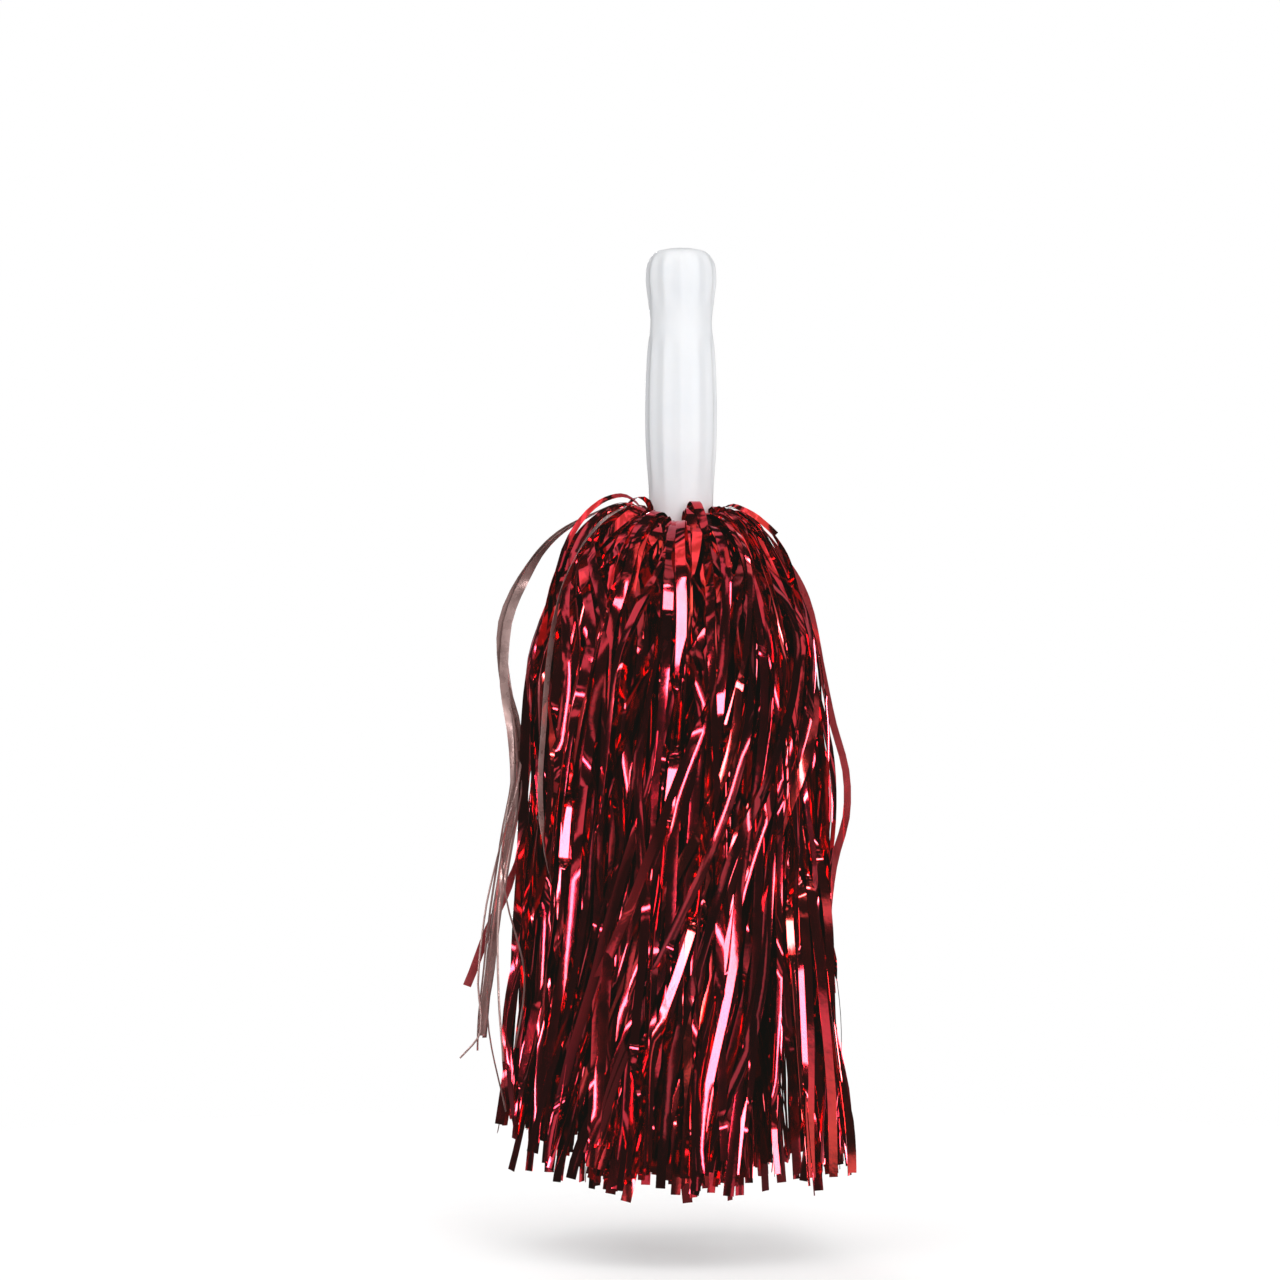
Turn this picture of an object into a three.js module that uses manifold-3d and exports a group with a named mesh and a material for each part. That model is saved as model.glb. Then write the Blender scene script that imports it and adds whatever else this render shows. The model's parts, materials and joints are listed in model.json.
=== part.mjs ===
// A cheerleading pom pom: a fluted hollow baton handle with a fringe of metallised film strips.
// It is drawn hanging, handle up. Millimetres, +Z up. The origin is the centre of the flat face
// on the handle's closed end, so everything else lies below it.
import * as THREE from "three";
import { mergeVertices } from "three/addons/utils/BufferGeometryUtils.js";
import Module from "manifold-3d";

const wasm = await Module();
wasm.setup();

// ---- Driving dimensions ----------------------------------------------------------------------
const overallLength = 355.6; // handle's end face to the longest strip's tip
const handleLength = 106;
const gripRadius = 13.5; // widest part of the handle, over the ribs
const waistRadius = 11.6; // finger waist below the end knob
const neckRadius = 12.1; // outside of the open mouth
const handleWall = 1.7;
const boreRadius = 10.3; // straight seat for the rolled film, inside the mouth
const endFaceRadius = 4.5;
const ribCount = 12;
const ribHeight = 0.6; // rib crest above groove

const filmSheets = 4; // film sheets rolled up one inside another
const sheetThickness = 0.65; // one rolled header
const sheetGap = 0.3;
const headerHeight = 22; // uncut band of each sheet, above the mouth
const tapeThickness = 0.35;
const wireRadius = 0.3;

const lockCount = 12; // locks of strips round the fringe, in two layers
const lockHalfAngle = THREE.MathUtils.degToRad(10.5);
const lockThickness = 3;
const fingerThickness = 2.5;
const fingerFill = 0.42; // half a finger's share of the pitch between fingers
const stripWidth = 3.6;
const strayThickness = 0.6;

const upAxis = new THREE.Vector3(0, 0, 1);

// ---- Worked out from them --------------------------------------------------------------------
const mouthZ = -handleLength;
const sheetPitch = sheetThickness + sheetGap;
const wireClearance = 0.3;
const rollRadius = boreRadius - 3 * wireClearance - 2 * wireRadius - tapeThickness;
const coreRadius = rollRadius - filmSheets * sheetPitch;
// Hinges of a lock as (radius, z): the top of the outer arch, and the inner fold at the mouth.
const outerHinge = new THREE.Vector2(neckRadius + 7.9, mouthZ + 10);
const innerHinge = new THREE.Vector2(neckRadius + 0.4, mouthZ - 2);

// ---- Helpers ---------------------------------------------------------------------------------
// A smooth curve through [radius, z] pairs, in the XZ plane.
const curveThrough = (pairs) =>
  new THREE.CatmullRomCurve3(pairs.map(([r, z]) => new THREE.Vector3(r, 0, z)), false, "centripetal");

// A body of revolution about Z from [radius, z] pairs that go down its outside and up its inside,
// starting and ending on the axis, or closed on themselves if they don't.
function turned(pairs, segments = 24) {
  const profile = pairs.map(([r, z]) => new THREE.Vector2(r, z)).reverse();
  const atAxis = pairs[0][0] === 0 && pairs.at(-1)[0] === 0;
  if (!atAxis) profile.push(profile[0].clone());
  return new THREE.LatheGeometry(profile, segments).rotateX(Math.PI / 2);
}

// A ring whose section is a band of even thickness round a curve of [radius, z] pairs.
function turnedBand(pairs, thickness, steps) {
  const curve = curveThrough(pairs);
  const side = (sign) =>
    Array.from({ length: steps + 1 }, (_, i) => {
      const point = curve.getPointAt(i / steps);
      const along = curve.getTangentAt(i / steps);
      return [point.x - (sign * along.z * thickness) / 2, point.z + (sign * along.x * thickness) / 2];
    });
  return turned([...side(1), ...side(-1).reverse()]);
}

// A panel that follows a curve in the radial plane at an azimuth. Its width spans an angle about Z,
// so it widens as it leaves the axis, unless a fixed width is given.
function bentPanel(curve, { azimuth = 0, from = 0, to = 1, halfAngle, width, thickness, steps }) {
  const panel = new THREE.BoxGeometry(1, 1, 1, 1, 1, steps);
  const place = panel.getAttribute("position");
  const spot = new THREE.Vector3();
  for (let i = 0; i < place.count; i++) {
    const u = THREE.MathUtils.lerp(from, to, place.getZ(i) + 0.5);
    const point = curve.getPointAt(u);
    const along = curve.getTangentAt(u);
    const outward = place.getY(i) * thickness;
    const radius = point.x - along.z * outward;
    const across = width ? place.getX(i) * width : place.getX(i) * 2 * point.x * Math.tan(halfAngle);
    spot.set(radius, across, point.z + along.x * outward);
    spot.applyAxisAngle(upAxis, azimuth);
    place.setXYZ(i, spot.x, spot.y, spot.z);
  }
  return panel;
}

// Closed three.js geometry to a manifold solid, and back.
function solid(geometry) {
  const bare = geometry.clone();
  bare.deleteAttribute("normal");
  bare.deleteAttribute("uv");
  const merged = mergeVertices(bare, 1e-4);
  const vertProperties = new Float32Array(merged.getAttribute("position").array);
  const triVerts = new Uint32Array(merged.index.array);
  return new wasm.Manifold(new wasm.Mesh({ numProp: 3, vertProperties, triVerts }));
}

function geometryOf(manifold) {
  const mesh = manifold.getMesh();
  const geometry = new THREE.BufferGeometry();
  geometry.setAttribute("position", new THREE.BufferAttribute(mesh.vertProperties, mesh.numProp));
  geometry.setIndex(new THREE.BufferAttribute(mesh.triVerts, 1));
  geometry.computeVertexNormals();
  return geometry;
}

const joined = (geometries) =>
  geometryOf(geometries.map(solid).reduce((whole, piece) => whole.add(piece)));

// ---- Materials -------------------------------------------------------------------------------
const whitePlastic = new THREE.MeshStandardMaterial({ color: 0xeceff2, roughness: 0.35, metalness: 0 });
const redFilm = new THREE.MeshStandardMaterial({ color: 0xb01030, roughness: 0.15, metalness: 1 });
const paleFilm = new THREE.MeshStandardMaterial({ color: 0xc98a8e, roughness: 0.2, metalness: 0.6 });
const clearTape = new THREE.MeshStandardMaterial({ color: 0xd9cfae, roughness: 0.3, metalness: 0 });
const steelWire = new THREE.MeshStandardMaterial({ color: 0xa8acb0, roughness: 0.35, metalness: 1 });

// ---- Handle ----------------------------------------------------------------------------------
// Radius over the rib crests, from the end knob down to the mouth.
const gripLine = curveThrough([
  [endFaceRadius, 0],
  [9.4, -1.3],
  [12.4, -5],
  [13.3, -11],
  [12.5, -19.4],
  [waistRadius, -27.5],
  [12.7, -38.5],
  [13.4, -53],
  [gripRadius, -68],
  [13.1, -79],
  [12.4, -88],
  [neckRadius, -96],
  [neckRadius, mouthZ],
]);

// 1 where the ribs stand at full height, falling to 0 at the end knob, the waist and the neck.
function ribStrength(z) {
  const rise = (low, high) => THREE.MathUtils.smoothstep(z, low, high);
  const upperRibs = rise(-24, -16) * (1 - rise(-7, -2));
  const lowerRibs = rise(-94, -80) * (1 - rise(-40, -32));
  return upperRibs + lowerRibs;
}

function handleShell() {
  const outside = gripLine.getSpacedPoints(24).map((p) => [p.x, p.z]);
  const ribbedWall = handleWall + ribHeight;
  const inside = [
    [boreRadius, mouthZ],
    [boreRadius, mouthZ + headerHeight + 2],
    [gripRadius - ribbedWall, -70],
    [gripRadius - ribbedWall, -50],
    [waistRadius - handleWall, -27.5],
    [12.8 - ribbedWall, -12],
    [7, -3],
    [0, -handleWall],
  ];
  const profile = [[0, 0], ...outside, ...inside];
  const shell = turned(profile, 2 * ribCount);
  const place = shell.getAttribute("position");
  for (let i = 0; i < place.count; i++) {
    const row = i % profile.length; // the lathe runs up the inside first
    if (row < inside.length) continue;
    const radius = Math.hypot(place.getX(i), place.getY(i));
    if (radius === 0) continue;
    const azimuth = Math.atan2(place.getY(i), place.getX(i));
    const groove = (1 - Math.cos(ribCount * azimuth)) / 2;
    const shrink = 1 - (ribHeight * groove * ribStrength(place.getZ(i))) / radius;
    place.setXY(i, place.getX(i) * shrink, place.getY(i) * shrink);
  }
  return shell;
}

// ---- What holds the film in the mouth ---------------------------------------------------------
// A flanged peg that the film is rolled round. Its head keeps the roll from slipping off.
function fringePeg() {
  const stem = coreRadius - 0.4;
  const head = coreRadius + 1.6;
  const top = mouthZ + headerHeight + 3;
  return turned([
    [0, top],
    [stem - 1.2, top],
    [stem, top - 1.6],
    [stem, mouthZ - 1.2],
    [head, mouthZ - 1.8],
    [head, mouthZ - 3.2],
    [head - 2, mouthZ - 4.4],
    [0, mouthZ - 4.8],
  ]);
}

// Sheet 1 is the outermost. The strips of sheets 1 and 3 fold outward round the mouth: sheet 1 up
// over the rim to the arch that the outer locks hang from, sheet 3 to the inner locks.
function filmHeader(sheet) {
  const radius = rollRadius - (sheet - 1) * sheetPitch - sheetThickness / 2;
  const top = mouthZ + headerHeight - 0.6 * sheet;
  const bottom = mouthZ + 3;
  if (sheet === 1) {
    const line = [
      [radius, top],
      [radius, mouthZ + 8],
      [radius, mouthZ + 1.5],
      [radius + 0.5, mouthZ - 0.8],
      [neckRadius - 0.9, mouthZ - 2],
      [neckRadius + 1.8, mouthZ + 1.4],
      [neckRadius + 3.2, mouthZ + 6.6],
      [outerHinge.x - 1.6, outerHinge.y + 0.3],
    ];
    return turnedBand(line, sheetThickness, 14);
  }
  if (sheet === 3) {
    const line = [
      [radius, top],
      [radius, mouthZ + 6],
      [radius, mouthZ - 0.4],
      [radius + 1.6, mouthZ - 3],
      [innerHinge.x - 1.5, innerHinge.y - 1.9],
    ];
    return turnedBand(line, sheetThickness, 9);
  }
  return turnedBand([[radius, top], [radius, bottom]], sheetThickness, 1);
}

function tapeWrap() {
  const radius = rollRadius + 0.15 + tapeThickness / 2;
  return turnedBand([[radius, mouthZ + 16], [radius, mouthZ + 6]], tapeThickness, 1);
}

// A turn of soft wire round the taped roll, its ends twisted together and laid up along it.
function tieWire() {
  const radius = rollRadius + 0.15 + tapeThickness + wireRadius + 0.12;
  const height = mouthZ + 11;
  const ring = new THREE.TorusGeometry(radius, wireRadius, 6, 24).translate(0, 0, height);
  const tail = new THREE.CylinderGeometry(wireRadius * 0.95, wireRadius * 0.95, 7, 6)
    .rotateX(Math.PI / 2)
    .translate(radius, 0, height + 3.4);
  return joined([ring, tail]);
}

// ---- Fringe ----------------------------------------------------------------------------------
// Middle line of each layer of strips, from its hinge down to its tips.
const outerLine = curveThrough([
  [outerHinge.x + 0.6, outerHinge.y - 0.1],
  [27, -97.6],
  [33.5, -102.6],
  [39.5, -112.5],
  [45, -127],
  [50, -148],
  [54.3, -176],
  [56, -210],
  [56.5, -248],
  [59, -290],
  [63, -338],
]);
const innerLine = curveThrough([
  [innerHinge.x + 0.6, innerHinge.y - 2.2],
  [16.5, -114],
  [21, -126],
  [24.5, -150],
  [27, -190],
  [28, -240],
  [29.5, -290],
  [31, -overallLength],
]);

// One lock: a short web where its strips are still together, and fingers of strips below it.
function lock(line, { fingers, steps, webEnd, azimuth }) {
  const fingerPitch = (2 * lockHalfAngle) / fingers;
  const web = bentPanel(line, {
    azimuth,
    to: webEnd,
    halfAngle: lockHalfAngle,
    thickness: lockThickness,
    steps: 3,
  });
  const strips = Array.from({ length: fingers }, (_, i) =>
    bentPanel(line, {
      azimuth: azimuth + (i - (fingers - 1) / 2) * fingerPitch,
      from: webEnd * 0.8,
      halfAngle: fingerPitch * fingerFill,
      thickness: fingerThickness,
      steps,
    }),
  );
  return joined([web, ...strips]);
}

// Strips that have sprung out of the fringe: the lock each one belongs to, and its line.
const strays = [
  {
    lock: 7,
    film: paleFilm,
    line: [[37, -100.4], [50, -106], [63, -126], [69, -144], [66.5, -160], [62.3, -182], [62.4, -206],
      [66, -222], [71, -246], [75, -297]],
  },
  {
    lock: 7,
    film: redFilm,
    offset: -8,
    line: [[60.5, -206], [62, -226], [67, -242], [74, -256], [82.5, -279]],
  },
  {
    lock: 1,
    film: redFilm,
    line: [[51.5, -140], [57, -160], [61, -182], [64, -206], [62.5, -226], [60.5, -246], [62, -280]],
  },
  {
    lock: 4,
    film: redFilm,
    line: [[44, -113], [53, -134], [60, -160], [63, -190], [61.5, -220], [64, -256]],
  },
  {
    lock: 10,
    film: redFilm,
    offset: 9,
    line: [[53, -148], [59, -172], [61, -200], [60, -232], [62.5, -262]],
  },
];

// ---- Assembly --------------------------------------------------------------------------------
const pomPom = new THREE.Group();

function add(name, geometry, material) {
  const mesh = new THREE.Mesh(geometry, material);
  mesh.name = name;
  pomPom.add(mesh);
  return mesh;
}

add("handle_shell", handleShell(), whitePlastic);
add("fringe_peg", fringePeg(), whitePlastic);
for (let sheet = 1; sheet <= filmSheets; sheet++) add(`film_header_${sheet}`, filmHeader(sheet), redFilm);
add("tape_wrap", tapeWrap(), clearTape);
add("tie_wire", tieWire(), steelWire);

const lockAzimuth = (number) => ((number - 1) * 2 * Math.PI) / lockCount;
const twoDigits = (number) => String(number).padStart(2, "0");
for (let number = 1; number <= lockCount; number++) {
  const azimuth = lockAzimuth(number);
  const outer = lock(outerLine, { azimuth, fingers: 3, steps: 8, webEnd: 0.12 });
  const inner = lock(innerLine, { azimuth, fingers: 2, steps: 7, webEnd: 0.14 });
  add(`outer_lock_${twoDigits(number)}`, outer, redFilm);
  add(`inner_lock_${twoDigits(number)}`, inner, redFilm);
}

strays.forEach((stray, i) => {
  const strip = bentPanel(curveThrough(stray.line), {
    azimuth: 0,
    width: stripWidth,
    thickness: strayThickness,
    steps: 12,
  });
  const mesh = add(`stray_strip_${i + 1}`, strip, stray.film);
  const tilt = THREE.MathUtils.degToRad(stray.offset ?? 0);
  mesh.rotation.z = lockAzimuth(stray.lock) + tilt;
});

export default pomPom;
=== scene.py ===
"""A cheer pom pom: a fluted white handle with a fringe of red metallised film strips, hanging handle up."""
import json
import math

import bpy
import numpy as np
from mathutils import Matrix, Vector

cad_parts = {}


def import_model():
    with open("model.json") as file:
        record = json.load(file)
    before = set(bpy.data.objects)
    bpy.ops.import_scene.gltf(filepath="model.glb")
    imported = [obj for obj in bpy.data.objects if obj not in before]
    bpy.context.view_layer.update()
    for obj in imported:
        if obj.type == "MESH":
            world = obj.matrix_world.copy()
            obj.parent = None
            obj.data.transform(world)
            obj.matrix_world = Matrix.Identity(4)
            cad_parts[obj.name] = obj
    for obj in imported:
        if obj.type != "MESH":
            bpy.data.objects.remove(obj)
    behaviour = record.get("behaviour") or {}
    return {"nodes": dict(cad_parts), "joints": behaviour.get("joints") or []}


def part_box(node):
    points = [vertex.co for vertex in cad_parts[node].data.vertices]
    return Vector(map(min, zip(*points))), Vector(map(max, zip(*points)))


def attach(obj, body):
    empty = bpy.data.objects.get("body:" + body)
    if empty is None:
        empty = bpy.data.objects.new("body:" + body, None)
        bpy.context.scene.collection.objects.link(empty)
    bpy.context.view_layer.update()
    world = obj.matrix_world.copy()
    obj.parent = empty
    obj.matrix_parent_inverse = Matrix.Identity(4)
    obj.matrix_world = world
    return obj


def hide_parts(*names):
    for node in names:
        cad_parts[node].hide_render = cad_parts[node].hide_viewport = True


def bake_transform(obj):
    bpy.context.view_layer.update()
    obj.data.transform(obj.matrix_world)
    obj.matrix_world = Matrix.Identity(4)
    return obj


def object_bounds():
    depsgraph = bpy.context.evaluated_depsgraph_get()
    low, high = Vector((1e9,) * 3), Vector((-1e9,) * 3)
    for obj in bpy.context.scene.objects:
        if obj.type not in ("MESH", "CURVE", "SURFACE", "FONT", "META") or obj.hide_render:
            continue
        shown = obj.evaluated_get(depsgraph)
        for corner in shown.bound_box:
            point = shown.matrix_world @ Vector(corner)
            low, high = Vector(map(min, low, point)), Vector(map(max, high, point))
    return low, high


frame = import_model()
cad_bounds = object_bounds()

# ---- Sizes, in millimetres unless a name says otherwise ------------------------------------------
MM = 0.001
STRIP_WIDTH = 3.7
STRAY_WIDTH = STRIP_WIDTH * 0.9
FIBRE_WIDTH = 0.85
FILM_THICKNESS = 0.12
TWIST = 0.42  # how much one strip's twist differs from another's, in radians
FOLD_STEP, FALL_STEP = 2.2, 6.0  # between a strip's stations, round the fold and below it
RIBS = 12
RIB_HEIGHT = 0.65
LOCKS = 12
OUTER_STRIPS = 30  # in each outer lock
INNER_STRIPS = 11
SECTOR = math.radians(360 / LOCKS)  # what one lock covers round the axis
CLUMPS = 4  # groups of strips in an outer lock that sway together
LEFT_FULLNESS = 0.03  # how much further out the fringe hangs on its left, and less on its right

MOUTH_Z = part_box("handle_shell")[0].z / MM

# Middle of the fringe's outer surface as (radius, z), from the top of its arch to the tips.
OUTER_FALL = [(20, -97), (25, -98.3), (31, -103), (37.5, -112), (43.5, -126), (49.5, -147),
              (53, -176), (54.5, -210), (55, -248), (58.5, -290), (64.5, -348), (66, -362)]
# The same on the right, where the shoulder is rounder.
RIGHT_FALL = [(20, -99.5), (24, -101.5), (28.5, -106), (34, -115), (40, -126), (47.5, -145),
              (52.5, -173), (54, -210), (54.5, -248), (57.5, -290), (63, -348), (64.5, -362)]
# The same for a strip that stands proud of the shoulder and then hangs straight.
PROUD_FALL = [(20, -97), (25, -98), (33, -101), (45, -108.5), (51.5, -120), (53.5, -134), (54.8, -165),
              (56, -200), (57, -240), (60, -290), (66, -348), (67, -362)]
INNER_FALL = [(12.5, -111.5), (16.5, -115), (21, -127), (24.5, -150), (27, -190), (28, -240),
              (30, -290), (33, -352), (33.6, -364)]
INNER_TIP = -349
GLEAM_SHARE = 1.11  # how far out the light-catching strips hang, as a share of the way to the surface

# The ends of the stretch round the fold, as (radius, z); across_fold is handed them and does not use them.
OUTER_BEND = (15, -98), (53, -190)
INNER_BEND = (11.5, -106), (25, -155)

# Where the camera stands, and the narrow lights in front as (azimuth in degrees, distance).
LENS, SENSOR = 135, 36
FRAME_WIDTH = 483.2  # what the picture spans at the object
CAMERA_SPOT = (-15.5, -FRAME_WIDTH * LENS / SENSOR, -147.7)
FRONT_LIGHTS = [(-138, 1300), (-76, 1350), (-36, 1300)]
UNLIT_SPOT = (-56, 1300)  # a place between two of them


# ---- Small maths helpers ---------------------------------------------------------------------
def smoothstep(x):
    """0 up to 0, 1 from 1, and a smooth ramp between."""
    x = np.clip(x, 0, 1)
    return x * x * (3 - 2 * x)


def unit(v):
    """The rows of v at length 1."""
    return v / np.maximum(np.linalg.norm(v, axis=-1, keepdims=True), 1e-9)


def through(points, spacing=1.0):
    """A smooth curve through the points, as points about one spacing apart."""
    p = np.array(points, float)
    t = np.concatenate([[0], np.cumsum(np.linalg.norm(np.diff(p, axis=0), axis=1))])
    slope = np.gradient(p, t, axis=0)
    u = np.linspace(0, t[-1], int(t[-1] / spacing) + 1)
    i = np.clip(np.searchsorted(t, u, side="right") - 1, 0, len(t) - 2)
    h = (t[i + 1] - t[i])[:, None]
    x = (u - t[i])[:, None] / h
    return (
        (2 * x**3 - 3 * x**2 + 1) * p[i]
        + (x**3 - 2 * x**2 + x) * h * slope[i]
        + (3 * x**2 - 2 * x**3) * p[i + 1]
        + (x**3 - x**2) * h * slope[i + 1]
    )


def along(points):
    """Arc length at each point."""
    return np.concatenate([[0], np.cumsum(np.linalg.norm(np.diff(points, axis=0), axis=1))])


def wobble(rng, s, lengths, size):
    """A smooth random offset along arc length s: one sine for each wavelength, about size high."""
    total = np.zeros_like(s)
    for length in lengths:
        period = length * rng.uniform(0.8, 1.25)
        total += rng.normal(0, 1) * np.sin(2 * math.pi * s / period + rng.uniform(0, 2 * math.pi))
    return total * size / math.sqrt(len(lengths))


# ---- Meshes ------------------------------------------------------------------------------------
def new_object(name, vertices, faces, materials, face_material=None, sharp=None, smooth=True):
    """A mesh object from vertices in millimetres."""
    mesh = bpy.data.meshes.new(name)
    mesh.from_pydata((np.asarray(vertices) * MM).tolist(), [], faces)
    for material in materials:
        mesh.materials.append(material)
    if face_material is not None:
        mesh.polygons.foreach_set("material_index", np.asarray(face_material, np.int32))
    mesh.polygons.foreach_set("use_smooth", [smooth] * len(mesh.polygons))
    mesh.update()
    if sharp is not None:
        marks = mesh.attributes.new("sharp_edge", "BOOLEAN", "EDGE")
        pairs = np.zeros(len(mesh.edges) * 2, np.int32)
        mesh.edges.foreach_get("vertices", pairs)
        marks.data.foreach_set("value", sharp(pairs.reshape(-1, 2)))
    obj = bpy.data.objects.new(name, mesh)
    bpy.context.scene.collection.objects.link(obj)
    return obj


# ---- Film strips ---------------------------------------------------------------------------------
class Film:
    """Ribbons gathered into one mesh. Each is a closed body with a thin section, cupped across its width."""

    SECTION = 6  # corners: three across the front, three across the back

    def __init__(self):
        self.vertices, self.faces, self.slots, self.ends = [], [], [], []

    def ribbon(self, centre, side, face, cup, width, slot):
        """One strip from arrays over its stations: middle line, across direction, normal and cup.

        cup is how far the middle stands up from the edges, and slot is the place of its material.
        """
        n = self.SECTION
        first, count = n * sum(len(v) // n for v in self.vertices), len(centre)
        half, thick, middle = side * (width / 2), face * (FILM_THICKNESS / 2), face * cup[:, None]
        ring = np.stack([centre - half + thick, centre + middle + thick, centre + half + thick,
                         centre + half - thick, centre + middle - thick, centre - half - thick], axis=1)
        self.vertices.append(ring.reshape(-1, 3))
        for k in range(count - 1):
            a = first + n * k
            for j in range(n):
                i = (j + 1) % n
                self.faces.append((a + j, a + i, a + n + i, a + n + j))
        last = first + n * (count - 1)
        for a, b, c, d in ((0, 1, 4, 5), (1, 2, 3, 4)):
            self.faces.append((first + d, first + c, first + b, first + a))
            self.faces.append((last + a, last + b, last + c, last + d))
        self.slots += [slot] * (n * (count - 1) + 4)
        self.ends += [*range(first, first + n), *range(last, last + n)]

    def build(self, name, materials):
        """The object, with sharp edges along the strips and round their ends."""
        vertices = np.concatenate(self.vertices)
        is_end = np.zeros(len(vertices), bool)
        is_end[self.ends] = True

        def sharp(edges):
            # Edges that run along a ribbon join matching corners of two sections.
            a, b = edges[:, 0] % self.SECTION, edges[:, 1] % self.SECTION
            return ((a == b) & (a % 3 != 1)) | (is_end[edges[:, 0]] & is_end[edges[:, 1]])

        return new_object(name, vertices, self.faces, materials, self.slots, sharp=sharp)


def crinkle(rng, s, shortest, longest, size):
    """A random offset that is straight between creases: film bends at creases and stays flat between."""
    creases = [-rng.uniform(0, longest)]
    while creases[-1] < s[-1]:
        creases.append(creases[-1] + math.exp(rng.uniform(math.log(shortest), math.log(longest))))
    return np.interp(s, creases, rng.normal(0, size, len(creases))), creases


def facets(rng, s, azimuth, shortest, longest, size):
    """The turn that keeps a strip flat between its creases while it goes round the handle.

    Between two creases the strip keeps one heading, plus a random turn of its own, and it changes
    over some millimetres at each crease.
    """
    creases = [-rng.uniform(0, longest)]
    while creases[-1] < s[-1]:
        # Near the fold the strips are crumpled, so their creases come closer together.
        calm = 0.4 + 0.6 * float(smoothstep((creases[-1] - 50) / 60))
        creases.append(creases[-1] + calm * math.exp(rng.uniform(math.log(shortest), math.log(longest))))
    creases = np.array(creases)
    reach = rng.uniform(0.12, 0.46, len(creases) - 1) * np.minimum(np.diff(creases), 26)
    reach = np.append(reach, reach[-1])
    middles = np.concatenate([creases[:1], (creases[:-1] + creases[1:]) / 2, creases[-1:]])
    levels = rng.normal(0, size, len(creases) + 1) - np.interp(middles, s, azimuth)
    ends = np.maximum.accumulate(np.stack([creases - reach, creases + reach], axis=1).ravel())
    held = np.interp(s, ends, np.stack([levels[:-1], levels[1:]], axis=1).ravel())
    return azimuth + held, ends


def dress(rng, points, settled, twist, crease, longest=140, faced=None):
    """Turns a line into a strip's stations: its centre, side, face and cup arrays.

    The strip lies flat on the rim up to arc length settled. From there it is turned about its own
    line by twist, and is a row of nearly flat facets, each turned by an angle of its own, of size crease.
    faced is the arc lengths between which it is quite flat, and its heading there.
    """
    s = along(points)
    free = smoothstep((s - settled + 12) / 40)
    bends = [crinkle(rng, s, 26, 110, 0.7) for _ in range(3)]
    points = points + np.stack([offset for offset, _ in bends], axis=1) * free[:, None]
    azimuth = np.unwrap(np.arctan2(points[:, 1], points[:, 0]))
    turns, ends = facets(rng, s, azimuth, 22, longest, crease)
    slow = wobble(rng, s, (120, 260), 0.03)

    early = np.arange(0, settled + 30, FOLD_STEP)
    late = np.arange(settled + 30, s[-1], FALL_STEP)
    if faced:
        soft = min(max((faced[1] - faced[0]) / 5, 3), 10)
        ends = np.concatenate([ends, *(np.linspace(end - soft / 2, end + soft / 2, 4) for end in faced[:2])])
    marks = np.concatenate([early, late, ends])
    marks = np.unique(np.round(marks[(marks > 0) & (marks < s[-1] - 1)], 1))
    marks = marks[np.concatenate([[True], np.diff(marks) > 0.6])]
    marks = np.append(marks, s[-1])
    centre = np.stack([np.interp(marks, s, points[:, i]) for i in range(3)], axis=1)
    loose = smoothstep((s - settled + 14) / 20)
    tangle = rng.normal(0, 0.55) * (1 - smoothstep((s - settled - 10) / 50))
    angle = np.interp(marks, s, (twist + turns + slow) * free + tangle * loose)
    cup = (rng.normal(0.0, 0.12) + wobble(rng, marks, (60, 140), 0.04)) * np.interp(marks, s, free)
    if faced:
        begun, over = (smoothstep((marks - end) / soft + 0.5) for end in faced[:2])
        flat = begun * (1 - over)
        angle += flat * (np.interp(marks, s, azimuth) - faced[2] - angle)
        cup *= 1 - flat

    direction = unit(np.gradient(centre, axis=0))
    azimuth = np.arctan2(centre[:, 1], centre[:, 0])
    round_axis = np.stack([-np.sin(azimuth), np.cos(azimuth), np.zeros_like(azimuth)], axis=1)
    side = unit(round_axis - (round_axis * direction).sum(1, keepdims=True) * direction)
    face = np.cross(direction, side)
    c, k = np.cos(angle)[:, None], np.sin(angle)[:, None]
    return centre, c * side + k * face, c * face - k * side, cup


# Where the strips end, and how high the fringe stands round the handle, by azimuth in degrees.
# -90 is the front, 0 the right.
TIPS = [(-180, -326), (-130, -335), (-90, -342), (-50, -347), (0, -342), (60, -346), (120, -340),
        (180, -326)]
CRESTS = [(-180, -97), (-150, -99), (-135, -100), (-120, -99.5), (-99, -103.8), (-88, -103),
          (-78, -99.5), (-60, -100), (-30, -100.5), (0, -101), (40, -100.5), (75, -102), (110, -99),
          (140, -101), (180, -97)]


def by_azimuth(table, azimuth):
    """What a table by azimuth in degrees has for an azimuth in radians."""
    turned = (math.degrees(azimuth) + 180) % 360 - 180
    return float(np.interp(turned, [row[0] for row in table], [row[1] for row in table]))


def fall_line(line, root, crest, share, tip):
    """(radius, z) from inside the mouth, over the fold's crest, then down a share of the way out to line."""
    top = np.array(line[0], float)
    fall = [(crest[0] + (r - top[0]) * share, z + (crest[1] - top[1]) * max(0.0, 1 - i / 5))
            for i, (r, z) in enumerate(line)]
    path = through(root + fall)
    keep = np.arange(len(path)) < len(path) // 4
    return path[keep | (path[:, 1] > tip)]


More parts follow.
